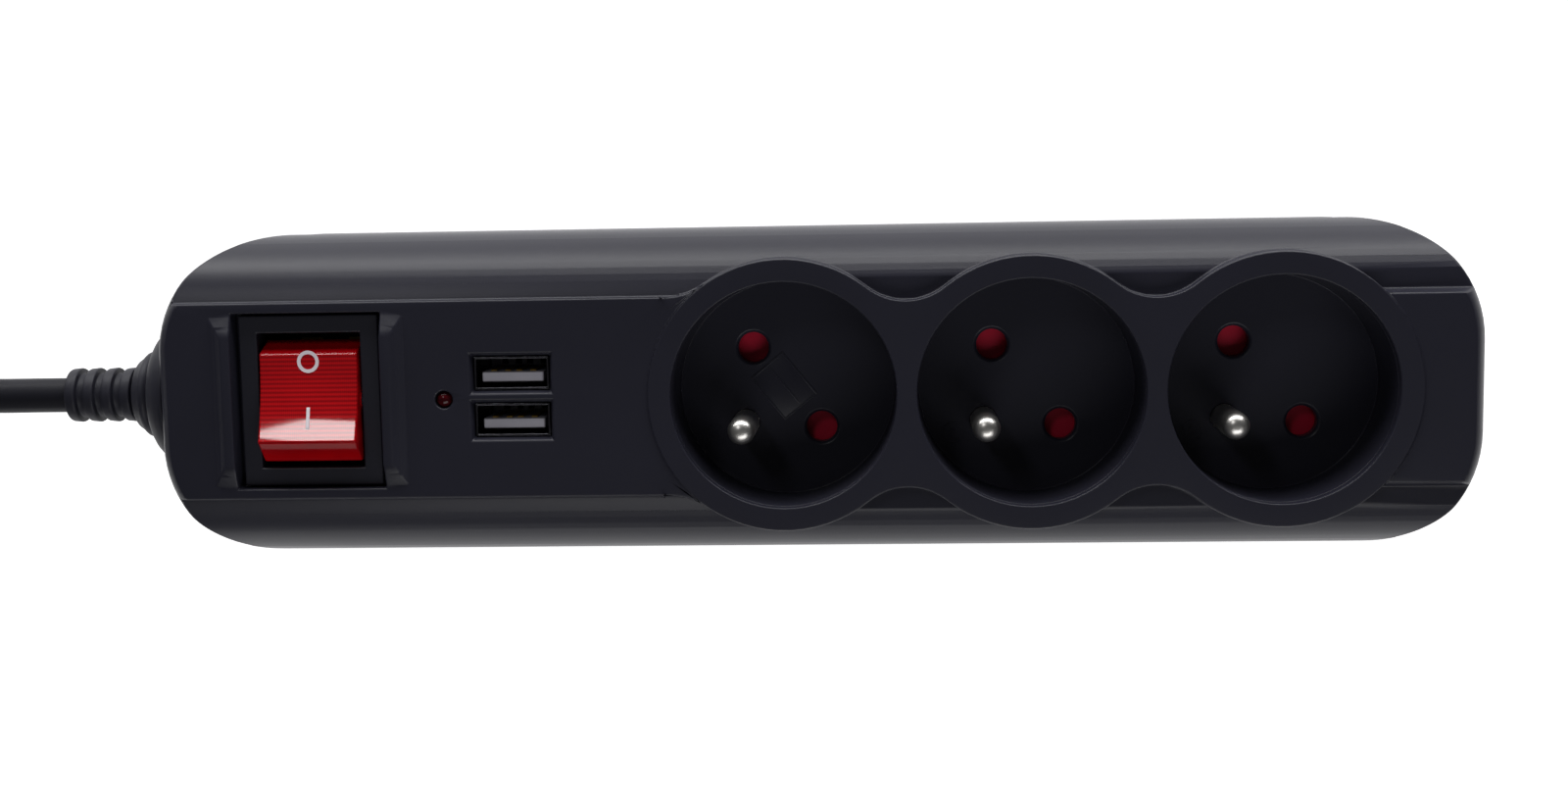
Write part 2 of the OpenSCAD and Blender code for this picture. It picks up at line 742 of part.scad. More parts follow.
module cord_hank() {
    inner = hank_r - cord_r;
    color(black) translate([0, 0, hank_z]) difference() {
        stadium(hank_out, hank_h);
        translate([0, 0, -1]) stadium(inner, hank_h + 2);
    }
}

module cord_tie() {
    x = (hank_mid + hank_end) / 2 - 8;
    t = 0.6;
    gap = 0.05;
    color("#3a3a40") difference() {
        box(x, 0, 0, hank_z + hank_h + gap + t, 10, 2 * (hank_out + gap + t));
        box(x, 0, t, hank_z + hank_h + gap, 12, 2 * (hank_out + gap));
    }
}

module plug_body() {
    r = 10;
    disc_h = plug_face_z - plug_t;
    color(black) translate(plug_at) difference() {
        union() {
            translate([-plug_relief_l - plug_l / 2, 0, 0]) rounded_block(plug_l, plug_w, r, 0, plug_t, 3);
            post([plug_disc_x, 0], plug_disc_r, plug_t - 1, plug_face_z);
        }
        // seats of the two side earth clips
        for (s = [-1, 1]) box(plug_disc_x + s * 18.4, 0, plug_t + 1, plug_face_z + 1, 3.6, 9);
        // earth hole and the two pin seats
        post([plug_disc_x + earth_off, 0], 2.5, 8, plug_face_z + 1);
        for (s = [-1, 1]) post([plug_disc_x, s * pin_gap / 2], 2.42, 14, plug_face_z + 1);
        // cord channel
        translate([-plug_relief_l - 8, 0, plug_axis_z]) rotate([0, 90, 0])
            cylinder(r = cord_r + 0.05, h = 12);
    }
}

module plug_pins() {
    color(nickel) translate(plug_at) for (s = [-1, 1]) translate([plug_disc_x, s * pin_gap / 2, 0]) {
        post([0, 0], 2.4, 14.1, plug_face_z + 18);
        translate([0, 0, plug_face_z + 17.95]) cylinder(r1 = 2.4, r2 = 1.4, h = 1);
    }
}

module plug_earth_clips() {
    color(nickel) translate(plug_at) for (s = [-1, 1]) {
        box(plug_disc_x + s * 17, 0, plug_t + 1.1, plug_face_z - 0.4, 0.7, 8.4);
        box(plug_disc_x + s * 17.8, 0, plug_face_z - 2.4, plug_face_z - 1.6, 1, 6);
    }
}

module plug_relief() {
    from = [plug_at[0] - plug_relief_l + 0.05, plug_at[1], plug_axis_z];
    color(black) translate(from) rotate([0, 90, 0]) difference() {
        union() {
            cylinder(r1 = 5.8, r2 = 4.1, h = plug_relief_l);
            for (k = [0:3]) translate([0, 0, 3 + 4.4 * k]) cylinder(r = 6.2 - 0.35 * k, h = 2.2);
        }
        translate([0, 0, -1]) cylinder(r = cord_r + 0.05, h = 40);
    }
}

top_cover();
base_cover();
socket_insert(0);  // socket_insert_1
socket_insert(1);  // socket_insert_2
socket_insert(2);  // socket_insert_3
shutter_cage(0);  // shutter_cage_1
shutter_cage(1);  // shutter_cage_2
shutter_cage(2);  // shutter_cage_3
shutter(0);  // shutter_1
shutter(1);  // shutter_2
shutter(2);  // shutter_3
shutter_spring(0);  // shutter_spring_1
shutter_spring(1);  // shutter_spring_2
shutter_spring(2);  // shutter_spring_3
earth_pin(0);  // earth_pin_1
earth_pin(1);  // earth_pin_2
earth_pin(2);  // earth_pin_3
live_busbar();
neutral_busbar();
earth_busbar();
contact_tray();
switch_housing();
switch_rocker();
switch_plungers();
switch_blades();
switch_terminals();
switch_lamp();
usb_board();
usb_shell(port_y[1]);  // usb_shell_upper
usb_shell(port_y[0]);  // usb_shell_lower
usb_tongues();
usb_contacts();
usb_transformer();
usb_capacitors();
led_indicator();
board_screws();
cable_gland();
strain_relief();
cord_clamp();
clamp_screws();
case_screws();
wire_live_in();
wire_neutral_in();
wire_earth();
wire_live_out();
wire_neutral_out();
power_cord();
cord_hank();
cord_tail();
cord_tie();
plug_body();
plug_pins();
plug_earth_clips();
plug_relief();
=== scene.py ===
import json
import math

import bmesh
import bpy
from mathutils import Matrix, Vector


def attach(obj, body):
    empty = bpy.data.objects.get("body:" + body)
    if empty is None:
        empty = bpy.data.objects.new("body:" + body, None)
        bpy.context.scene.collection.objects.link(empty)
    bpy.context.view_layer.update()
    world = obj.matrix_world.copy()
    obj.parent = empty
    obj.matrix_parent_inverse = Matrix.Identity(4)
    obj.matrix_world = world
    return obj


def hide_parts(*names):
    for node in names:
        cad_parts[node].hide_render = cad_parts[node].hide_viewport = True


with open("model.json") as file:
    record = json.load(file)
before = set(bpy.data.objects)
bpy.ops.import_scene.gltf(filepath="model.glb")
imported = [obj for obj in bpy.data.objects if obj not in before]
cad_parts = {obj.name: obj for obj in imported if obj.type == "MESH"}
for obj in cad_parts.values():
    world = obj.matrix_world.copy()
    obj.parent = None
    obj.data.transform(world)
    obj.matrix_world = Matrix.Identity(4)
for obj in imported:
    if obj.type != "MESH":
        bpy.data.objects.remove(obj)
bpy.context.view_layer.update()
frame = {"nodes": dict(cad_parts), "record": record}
mm = 0.001
nodes = frame["nodes"]
bodyOf = {node: body for body, members in frame["record"]["behaviour"]["bodies"].items() for node in members}
slotOf = {part["node"]: part["material_slot"] for part in frame["record"]["subparts"]}

# camera: almost straight down on the socket face, a little from the far long side
view = {
    "place": (0.0150, 0.0366, 0.3707),
    "turn": (-0.1113, 0.0564, -0.0182),
    "lens": 44.04,
    "sensor": 36,
    "nearest": 0.01,
}


def addObject(name, data):
    thing = bpy.data.objects.new(name, data)
    bpy.context.scene.collection.objects.link(thing)
    return thing


def makeCamera():
    data = bpy.data.cameras.new("camera")
    data.sensor_width = view["sensor"]
    data.lens = view["lens"]
    data.clip_start = view["nearest"]
    camera = addObject("camera", data)
    camera.location = view["place"]
    camera.rotation_euler = view["turn"]
    bpy.context.scene.camera = camera


makeCamera()
print("camera ready")


def linearColor(hexValue):
    parts = [int(hexValue[i:i + 2], 16) / 255 for i in (1, 3, 5)]
    return [c / 12.92 if c <= 0.04045 else ((c + 0.055) / 1.055) ** 2.4 for c in parts] + [1.0]


def addNode(tree, kind, values=None, links=None, **settings):
    node = tree.nodes.new(kind)
    for key, value in settings.items():
        setattr(node, key, value)
    for key, value in (values or {}).items():
        node.inputs[key].default_value = value
    for key, socket in (links or {}).items():
        tree.links.new(socket, node.inputs[key])
    return node


def startMaterial(name, sockets):
    material = bpy.data.materials.new(name)
    material.use_nodes = True
    tree = material.node_tree
    shader = tree.nodes["Principled BSDF"]
    for socket, value in sockets.items():
        shader.inputs[socket].default_value = value
    coords = addNode(tree, "ShaderNodeTexCoord")
    return material, tree, shader, coords.outputs["Object"]


def blendColors(tree, shader, factor, first, second):
    # sockets 6 and 7 are the two colours of a colour mix, and output 2 is its result
    colors = {6: linearColor(first), 7: linearColor(second)}
    mix = addNode(tree, "ShaderNodeMix", colors, {0: factor}, data_type="RGBA")
    tree.links.new(mix.outputs[2], shader.inputs["Base Color"])


def spreadRoughness(tree, shader, factor, low, high):
    spread = addNode(tree, "ShaderNodeMapRange", {"To Min": low, "To Max": high}, {"Value": factor})
    tree.links.new(spread.outputs["Result"], shader.inputs["Roughness"])


rollStretch = 9.0  # how much longer than wide a rolling scratch is
waveRepeat = 0.31416  # a wave texture of scale 1 repeats after this length
prismTones = (0.2, 2.0)  # darkest and brightest sum of the prism grid and its clouds


def mouldedFinish(name, look):
    # moulded plastic or rubber: spark-eroded grain over faint flow marks from moulding
    # the real grain is a few hundredths of a millimetre, so it is drawn coarser to show
    material, tree, shader, place = startMaterial(name, look["sockets"])
    grain = addNode(
        tree, "ShaderNodeTexNoise",
        {"Scale": 1 / (look["grain"] * mm), "Detail": 4.0, "Roughness": 0.6}, {"Vector": place},
    )
    flow = addNode(
        tree, "ShaderNodeTexNoise",
        {"Scale": 1 / (look["flow"] * mm), "Detail": 3.0, "Roughness": 0.55}, {"Vector": place},
    )
    blendColors(tree, shader, flow.outputs["Fac"], look["dark"], look["light"])
    spreadRoughness(tree, shader, grain.outputs["Fac"], look["rough"][0], look["rough"][1])
    sink = addNode(
        tree, "ShaderNodeBump", {"Strength": 0.6, "Distance": look["sinkDepth"] * mm},
        {"Height": flow.outputs["Fac"]},
    )
    bump = addNode(
        tree, "ShaderNodeBump", {"Strength": 1.0, "Distance": look["grainDepth"] * mm},
        {"Height": grain.outputs["Fac"], "Normal": sink.outputs["Normal"]},
    )
    tree.links.new(bump.outputs["Normal"], shader.inputs["Normal"])
    return material


def metalFinish(name, look):
    # plated or rolled metal: long faint rolling scratches and cloudy gloss
    material, tree, shader, place = startMaterial(name, {"Metallic": 1.0})
    scale = (1.0, rollStretch, rollStretch)
    stretch = addNode(tree, "ShaderNodeMapping", {"Scale": scale}, {"Vector": place})
    scratch = addNode(
        tree, "ShaderNodeTexNoise", {"Scale": 1 / (look["scratch"] * mm), "Detail": 5.0},
        {"Vector": stretch.outputs["Vector"]},
    )
    cloud = addNode(
        tree, "ShaderNodeTexNoise", {"Scale": 1 / (look["cloud"] * mm), "Detail": 2.0}, {"Vector": place}
    )
    blendColors(tree, shader, cloud.outputs["Fac"], look["dark"], look["light"])
    spreadRoughness(tree, shader, scratch.outputs["Fac"], look["rough"][0], look["rough"][1])
    bump = addNode(
        tree, "ShaderNodeBump", {"Strength": 0.5, "Distance": look["depth"] * mm},
        {"Height": scratch.outputs["Fac"]},
    )
    tree.links.new(bump.outputs["Normal"], shader.inputs["Normal"])
    return material


def lensFinish(name, look):
    # clear red polycarbonate with a fine prism grid behind the face, lit softly from within
    material, tree, shader, place = startMaterial(name, look["sockets"])
    rows = addNode(
        tree, "ShaderNodeTexWave", {"Scale": waveRepeat / (look["prism"] * mm), "Distortion": 0.0},
        {"Vector": place}, wave_type="BANDS", bands_direction="Y", wave_profile="SIN",
    )
    columns = addNode(
        tree, "ShaderNodeTexWave", {"Scale": waveRepeat / (look["column"] * mm), "Distortion": 0.0},
        {"Vector": place}, wave_type="BANDS", bands_direction="X", wave_profile="SIN",
    )
    grid = addNode(
        tree, "ShaderNodeMath", {1: look["columnShare"]}, {0: columns.outputs["Fac"], 2: rows.outputs["Fac"]},
        operation="MULTIPLY_ADD",
    )
    cloud = addNode(
        tree, "ShaderNodeTexNoise", {"Scale": 1 / (look["cloud"] * mm), "Detail": 2.0}, {"Vector": place}
    )
    shade = addNode(
        tree, "ShaderNodeMath", {1: look["cloudShare"]}, {0: cloud.outputs["Fac"], 2: grid.outputs["Value"]},
        operation="MULTIPLY_ADD",
    )
    tones = {"From Min": prismTones[0], "From Max": prismTones[1]}
    factor = addNode(tree, "ShaderNodeMapRange", tones, {"Value": shade.outputs["Value"]})
    blendColors(tree, shader, factor.outputs["Result"], look["dark"], look["light"])
    spreadRoughness(tree, shader, cloud.outputs["Fac"], look["rough"][0], look["rough"][1])
    return material


def wovenFinish(name, look):
    # hook and loop tape: a coarse tricot knit that catches light as a fuzz
    material, tree, shader, place = startMaterial(name, look["sockets"])
    weave = addNode(tree, "ShaderNodeTexVoronoi", {"Scale": 1 / (look["loop"] * mm)}, {"Vector": place})
    blendColors(tree, shader, weave.outputs["Distance"], look["light"], look["dark"])
    bump = addNode(
        tree, "ShaderNodeBump", {"Strength": 1.0, "Distance": look["depth"] * mm},
        {"Height": weave.outputs["Distance"]},
    )
    tree.links.new(bump.outputs["Normal"], shader.inputs["Normal"])
    return material


mouldedLooks = {
    # ABS covers, spark-eroded satin: soft grey sheen where the light grazes
    "charcoalAbs": {
        "dark": "#21212a", "light": "#272732",
        "grain": 0.35, "grainDepth": 0.012, "flow": 34, "sinkDepth": 0.05,
        "rough": (0.31, 0.40), "sockets": {"IOR": 1.5, "Specular IOR Level": 0.27},
    },
    # nylon bezel, smoother and a shade blacker than the covers
    "blackNylon": {
        "dark": "#1b1b24", "light": "#212129",
        "grain": 0.2, "grainDepth": 0.004, "flow": 12, "sinkDepth": 0.01,
        "rough": (0.34, 0.44), "sockets": {"IOR": 1.52, "Specular IOR Level": 0.34},
    },
    # soft PVC cord sheath, dull with a faint extrusion ripple
    "cordPvc": {
        "dark": "#17171d", "light": "#1c1c23",
        "grain": 0.5, "grainDepth": 0.01, "flow": 9, "sinkDepth": 0.03,
        "rough": (0.42, 0.55), "sockets": {"IOR": 1.5, "Specular IOR Level": 0.13},
    },
    # moulded-on PVC for the relief, gland and plug
    "reliefPvc": {
        "dark": "#1d1d25", "light": "#24242e",
        "grain": 0.3, "grainDepth": 0.01, "flow": 14, "sinkDepth": 0.02,
        "rough": (0.44, 0.56), "sockets": {"IOR": 1.5, "Specular IOR Level": 0.25},
    },
    # dark red polyamide shutters, deep in the pin holes
    "shutterRed": {
        "dark": "#a80c2c", "light": "#c21236",
        "grain": 0.3, "grainDepth": 0.005, "flow": 5, "sinkDepth": 0.01,
        "rough": (0.4, 0.5), "sockets": {"IOR": 1.5, "Specular IOR Level": 0.25},
    },
    # natural nylon, slightly yellow
    "naturalNylon": {
        "dark": "#c3bda9", "light": "#d6d1c0",
        "grain": 0.3, "grainDepth": 0.006, "flow": 10, "sinkDepth": 0.02,
        "rough": (0.40, 0.5), "sockets": {"IOR": 1.52},
    },
    # pale grey glass-filled tongue of a charging port
    "tongueGrey": {
        "dark": "#77757d", "light": "#8e8c94",
        "grain": 0.2, "grainDepth": 0.004, "flow": 4, "sinkDepth": 0.01,
        "rough": (0.35, 0.45), "sockets": {"IOR": 1.52},
    },
    # painted highlight: a brighter copy of the tongue's satin grey, laid on the nose of the tongue, which
    # faces straight out toward the lights
    "litTongueNose": {
        "dark": "#a4a2ac", "light": "#bcbac4",
        "grain": 0.2, "grainDepth": 0.004, "flow": 4, "sinkDepth": 0.01,
        "rough": (0.35, 0.45), "sockets": {"IOR": 1.52},
    },
    # unlit depth of a contact slot
    "slotShadow": {
        "dark": "#040405", "light": "#08080a",
        "grain": 0.2, "grainDepth": 0.002, "flow": 3, "sinkDepth": 0.002,
        "rough": (0.6, 0.7), "sockets": {"IOR": 1.5, "Specular IOR Level": 0.1},
    },
    # solder mask on glass board
    "solderMask": {
        "dark": "#164a30", "light": "#1f6040",
        "grain": 0.8, "grainDepth": 0.01, "flow": 6, "sinkDepth": 0.01,
        "rough": (0.25, 0.35), "sockets": {"IOR": 1.5},
    },
    # extruded wire insulation in three colours
    "wireBrown": {
        "dark": "#52311b", "light": "#6a4226",
        "grain": 0.4, "grainDepth": 0.004, "flow": 7, "sinkDepth": 0.01,
        "rough": (0.3, 0.4), "sockets": {"IOR": 1.5},
    },
    "wireBlue": {
        "dark": "#1f478e", "light": "#2c5cae",
        "grain": 0.4, "grainDepth": 0.004, "flow": 7, "sinkDepth": 0.01,
        "rough": (0.3, 0.4), "sockets": {"IOR": 1.5},
    },
    "wireGreenYellow": {
        "dark": "#3f8a35", "light": "#d2c22e",
        "grain": 0.4, "grainDepth": 0.004, "flow": 4, "sinkDepth": 0.01,
        "rough": (0.3, 0.4), "sockets": {"IOR": 1.5},
    },
    # white pad-printed ink of the two switch marks
    "whiteInk": {
        "dark": "#d8d0d6", "light": "#ebe5ea",
        "grain": 0.2, "grainDepth": 0.002, "flow": 3, "sinkDepth": 0.002,
        "rough": (0.45, 0.55), "sockets": {"IOR": 1.5},
    },
    # clear glass of the neon lamp, with its orange glow gas
    "neonGlass": {
        "dark": "#e08a4c", "light": "#f5b078",
        "grain": 0.5, "grainDepth": 0.001, "flow": 4, "sinkDepth": 0.001,
        "rough": (0.05, 0.1), "sockets": {"IOR": 1.46, "Transmission Weight": 0.6},
    },
}
metalLooks = {
    # bright nickel plate on the earth pins, plug pins and port shells
    "nickelPlate": {
        "dark": "#c8c5c1", "light": "#e2e0dc",
        "rough": (0.30, 0.40), "scratch": 0.9, "cloud": 6, "depth": 0.004,
    },
    # tinned shells of the charging ports, darker and tighter in their highlights
    "tinnedShell": {
        "dark": "#55555a", "light": "#6a6a70",
        "rough": (0.15, 0.22), "scratch": 0.5, "cloud": 3, "depth": 0.003,
    },
    # stamped brass of the busbars and blades, a little dull
    "stampedBrass": {
        "dark": "#a8853a", "light": "#c9a552",
        "rough": (0.28, 0.42), "scratch": 0.8, "cloud": 5, "depth": 0.006,
    },
    # zinc-plated screw steel
    "zincSteel": {
        "dark": "#8c8c90", "light": "#b0b0b2",
        "rough": (0.3, 0.42), "scratch": 0.5, "cloud": 3, "depth": 0.006,
    },
    # hard-drawn spring wire
    "springWire": {
        "dark": "#9c9c9c", "light": "#bcbcbc",
        "rough": (0.22, 0.32), "scratch": 0.4, "cloud": 3, "depth": 0.004,
    },
}
# moulded red lens of the rocker, with prisms behind its dish
lensLook = {
    "dark": "#7c0009", "light": "#d40e16", "prism": 0.78, "column": 0.36,
    "columnShare": 0.35, "cloud": 9, "cloudShare": 0.5, "rough": (0.05, 0.08),
    "sockets": {"IOR": 1.58, "Specular IOR Level": 0.62},
}
# the same resin where no prisms lie behind it: deeper and even
clearEndLook = {
    "dark": "#8a000a", "light": "#b4060f", "prism": 4.0, "column": 4.0,
    "columnShare": 0.1, "cloud": 6, "cloudShare": 1.2, "rough": (0.06, 0.1),
    "sockets": {"IOR": 1.58, "Specular IOR Level": 0.1},
}
# tinted resin of the small indicator, dark while unlit
ledLook = {
    "dark": "#240208", "light": "#44060c", "prism": 1.2, "column": 1.2,
    "columnShare": 0.0, "cloud": 2, "cloudShare": 1.2, "rough": (0.08, 0.14),
    "sockets": {"IOR": 1.55, "Specular IOR Level": 0.22},
}
# black nylon hook and loop tape of the tie
tapeLook = {
    "dark": "#1c1c21", "light": "#34343b", "loop": 0.6, "depth": 0.15,
    "sockets": {"Roughness": 0.85, "Sheen Weight": 0.3},
}

finishes = {name: mouldedFinish(name, look) for name, look in mouldedLooks.items()}
finishes.update({name: metalFinish(name, look) for name, look in metalLooks.items()})
finishes["redPolycarbonate"] = lensFinish("redPolycarbonate", lensLook)
finishes["clearRedEnds"] = lensFinish("clearRedEnds", clearEndLook)
finishes["indicatorResin"] = lensFinish("indicatorResin", ledLook)
finishes["hookLoopTape"] = wovenFinish("hookLoopTape", tapeLook)

finishOfSlot = {
    "charcoal_cover": "charcoalAbs",
    "black_plastic": "blackNylon",
    "black_rubber": "reliefPvc",
    "tie": "hookLoopTape",
    "red_lamp": "redPolycarbonate",
    "red_plastic": "shutterRed",
    "nylon": "naturalNylon",
    "nickel": "nickelPlate",
    "brass": "stampedBrass",
    "spring_steel": "springWire",
    "screw_steel": "zincSteel",
    "board_green": "solderMask",
    "lamp_glass": "neonGlass",
    "wire_brown": "wireBrown",
    "wire_blue": "wireBlue",
    "wire_green_yellow": "wireGreenYellow",
}
finishOfNode = {
    "led_indicator": "indicatorResin", "usb_tongues": "tongueGrey", "plug_body": "reliefPvc",
    "usb_shell_upper": "tinnedShell", "usb_shell_lower": "tinnedShell",
}
print("materials ready:", len(finishes))


def finishFor(node):
    return finishes[finishOfNode.get(node, finishOfSlot[slotOf[node]])]


for nodeName, nodeObject in nodes.items():
    nodeObject.data.materials.clear()
    nodeObject.data.materials.append(finishFor(nodeName))


# merging and edge radii of the soft copies and the small added parts, in mm and degrees
edgePlan = {
    "merge": 0.002,
    "flatAngle": 0.6,
    "bevelAngle": 32,
    "segments": 2,
    "copySharp": 50,
    "partSharp": 40,
}


def placePiece(name, mesh, material, body):
    mesh.materials.append(material)
    piece = addObject(name, mesh)
    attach(piece, body)
    return piece


def meshFrom(name, bm, sharpAngle=edgePlan["partSharp"]):
    mesh = bpy.data.meshes.new(name)
    bm.to_mesh(mesh)
    bm.free()
    mesh.shade_smooth()
    mesh.set_sharp_from_angle(angle=math.radians(sharpAngle))
    return mesh


def bevelEdges(bm, edges, width, clamp):
    bmesh.ops.bevel(
        bm, geom=edges, offset=width * mm, offset_type="OFFSET", segments=edgePlan["segments"], profile=0.5,
        affect="EDGES", clamp_overlap=clamp, material=-1,
    )


def softCopy(name, node, width, way="joined"):
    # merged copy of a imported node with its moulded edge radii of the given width
    # "triangles" keeps the flat faces split, "clamped" stops the bevel where faces are short
    bm = bmesh.new()
    bm.from_mesh(nodes[node].data)
    bmesh.ops.remove_doubles(bm, verts=bm.verts, dist=edgePlan["merge"] * mm)
    if way != "triangles":
        bmesh.ops.dissolve_limit(
            bm, angle_limit=math.radians(edgePlan["flatAngle"]), use_dissolve_boundaries=False,
            verts=bm.verts, edges=bm.edges,
        )
    corner = math.radians(edgePlan["bevelAngle"])
    edges = [e for e in bm.edges if e.is_manifold and e.calc_face_angle(0) > corner]
    bevelEdges(bm, edges, width, way == "clamped")
    mesh = meshFrom(name, bm, edgePlan["copySharp"])
    piece = placePiece(name, mesh, finishFor(node), bodyOf[node])
    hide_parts(node)
    weights = piece.modifiers.new("weightedNormal", "WEIGHTED_NORMAL")
    weights.keep_sharp = True
    return piece


softPieces = {
    "topCover": ("top_cover", 0.3, "triangles"),
    "baseCover": ("base_cover", 0.3, "triangles"),
    "socketWell1": ("socket_insert_1", 0.15, "triangles"),
    "socketWell2": ("socket_insert_2", 0.15, "triangles"),
    "socketWell3": ("socket_insert_3", 0.15, "triangles"),
    "shutterPlate1": ("shutter_1", 0.15, "clamped"),
    "shutterPlate2": ("shutter_2", 0.15, "clamped"),
    "shutterPlate3": ("shutter_3", 0.15, "clamped"),
    "earthPin1": ("earth_pin_1", 0.1),
    "earthPin2": ("earth_pin_2", 0.1),
    "earthPin3": ("earth_pin_3", 0.1),
    "switchBezel": ("switch_housing", 0.3),
    "rocker": ("switch_rocker", 0.35),
    "portShellUpper": ("usb_shell_upper", 0.08),
    "portShellLower": ("usb_shell_lower", 0.08),
    "portTongues": ("usb_tongues", 0.25),
    "indicator": ("led_indicator", 0.1),
    "cordGland": ("cable_gland", 0.3),
    "cordRelief": ("strain_relief", 0.3),
    "plugShell": ("plug_body", 0.8),
    "plugPins": ("plug_pins", 0.2, "clamped"),
    "plugClips": ("plug_earth_clips", 0.1),
    "plugRelief": ("plug_relief", 0.35),
    "caseScrews": ("case_screws", 0.08),
}
pieces = {name: softCopy(name, *plan) for name, plan in softPieces.items()}
print("soft copies ready:", len(pieces))

rockerPlan = {
    "axis": (-88.5, 0, 36.5),
    "tilt": 11,
    "dishRadius": 38,
    "dishLow": 2.9,
    "topReach": 7.85,
    "topNormal": 0.9,
    "markLift": 0.03,
    "ringPlace": 6.4,
    "ringRadius": 1.95,
    "ringStroke": 0.62,
    "barPlace": -3.6,
    "barLength": 3.9,
    "barWidth": 0.62,
    "barEase": 0.02,
    "barCuts": 6,
    "barLongEdge": 2,
    "markThickness": 0.08,
}
rockerTurn = Matrix.Rotation(math.radians(-rockerPlan["tilt"]), 4, "X")
rockerPlace = Matrix.Translation(Vector(rockerPlan["axis"]) * mm) @ rockerTurn


def splitRockerFinish():
    # ends and flanks show plain clear resin, the dish shows the prisms
    mesh = pieces["rocker"].data
    mesh.materials.append(finishes["clearRedEnds"])
    back = rockerPlace.inverted()
    for face in mesh.polygons:
        centre = back @ face.center
        normal = back.to_3x3() @ face.normal
        plain = normal.z < rockerPlan["topNormal"] or abs(centre.y) > rockerPlan["topReach"] * mm
        face.material_index = int(plain)


def dishHeight(y):
    radius = rockerPlan["dishRadius"]
    return rockerPlan["dishLow"] + radius - math.sqrt(radius * radius - y * y)


def layOnDish(bm):
    # follows the hollow of the dish, then takes the rocker's tilt
    for vert in bm.verts:
        vert.co.z += (dishHeight(vert.co.y / mm) + rockerPlan["markLift"]) * mm
    bmesh.ops.transform(bm, matrix=rockerPlace, verts=bm.verts)


def spinRing(bm, radius, stroke, thickness, steps=64):
    # square section spun about Z
    result = bmesh.ops.create_grid(bm, x_segments=1, y_segments=1, size=0.5)
    shape = Matrix.Translation((radius * mm, 0, 0)) @ Matrix.Rotation(math.radians(90), 4, "X")
    shape = shape @ Matrix.Diagonal((stroke * mm, thickness * mm, 1, 1))
    bmesh.ops.transform(bm, matrix=shape, verts=result["verts"])
    bmesh.ops.delete(bm, geom=bm.faces[:], context="FACES_ONLY")
    bmesh.ops.spin(
        bm, geom=bm.verts[:] + bm.edges[:], cent=(0, 0, 0), axis=(0, 0, 1), dvec=(0, 0, 0),
        angle=math.tau, steps=steps, use_merge=True, use_duplicate=False,
    )
    bmesh.ops.remove_doubles(bm, verts=bm.verts, dist=0.0005 * mm)
    bmesh.ops.recalc_face_normals(bm, faces=bm.faces)


def easedBlock(bm, centre, size, ease):
    result = bmesh.ops.create_cube(bm, size=1)
    shape = Matrix.Translation(Vector(centre) * mm) @ Matrix.Diagonal((*[v * mm for v in size], 1))
    bmesh.ops.transform(bm, matrix=shape, verts=result["verts"])
    corners = set(result["verts"])
    bevelEdges(bm, [e for e in bm.edges if e.verts[0] in corners], ease, True)


def makeRockerMarks():
    ring = bmesh.new()
    radius = rockerPlan["ringRadius"] - rockerPlan["ringStroke"] / 2
    spinRing(ring, radius, rockerPlan["ringStroke"], rockerPlan["markThickness"])
    bmesh.ops.translate(ring, vec=(0, rockerPlan["ringPlace"] * mm, 0), verts=ring.verts)
    layOnDish(ring)
    placePiece("offMark", meshFrom("offMark", ring), finishes["whiteInk"], "rocker")
    bar = bmesh.new()
    size = (rockerPlan["barWidth"], rockerPlan["barLength"], rockerPlan["markThickness"])
    easedBlock(bar, (0, rockerPlan["barPlace"], 0), size, rockerPlan["barEase"])
    longEdges = [e for e in bar.edges if e.calc_length() > rockerPlan["barLongEdge"] * mm]
    bmesh.ops.subdivide_edges(bar, edges=longEdges, cuts=rockerPlan["barCuts"], use_grid_fill=True)
    layOnDish(bar)
    placePiece("onMark", meshFrom("onMark", bar), finishes["whiteInk"], "rocker")


splitRockerFinish()
makeRockerMarks()
print("rocker ready")

wellPlan = {
    "centres": (-4.5, 38.5, 81.5),
    "floor": 25,
    "markOffset": (-13.2, -8.7),
    "markRadius": 1.75,
    "hubRadius": 0.55,
    "markStroke": 0.3,
    "markSteps": 40,
    "markLift": 0.1,
    "plateCentre": (-5.2, 0.2),
    "plateSize": (9.8, 7.6),
    "plateTurn": -51,
    "plateFrame": 0.3,
    "plateThickness": 0.16,
    "plateEase": 0.05,
    "frameLift": 0.1,
    "ribShift": 0.2,
    "ribInset": 1.4,
    "ribThickness": 0.14,
}


def makeWellMarks():
    # plain moulded rings beside the earth pins: an outer ring and a small hub
    for number, x in enumerate(wellPlan["centres"], 1):
        bm = bmesh.new()
        place = Vector((x + wellPlan["markOffset"][0], wellPlan["markOffset"][1], wellPlan["floor"])) * mm
        for radius in (wellPlan["markRadius"], wellPlan["hubRadius"]):
            part = bmesh.new()
            spinRing(part, radius, wellPlan["markStroke"], 2 * wellPlan["markLift"], wellPlan["markSteps"])
            bmesh.ops.translate(part, vec=place, verts=part.verts)
            mesh = bpy.data.meshes.new("markPart")
            part.to_mesh(mesh)
            part.free()
            bm.from_mesh(mesh)
            bpy.data.meshes.remove(mesh)
        name = "wellMark" + str(number)
        placePiece(name, meshFrom(name, bm), finishes["charcoalAbs"], "strip")


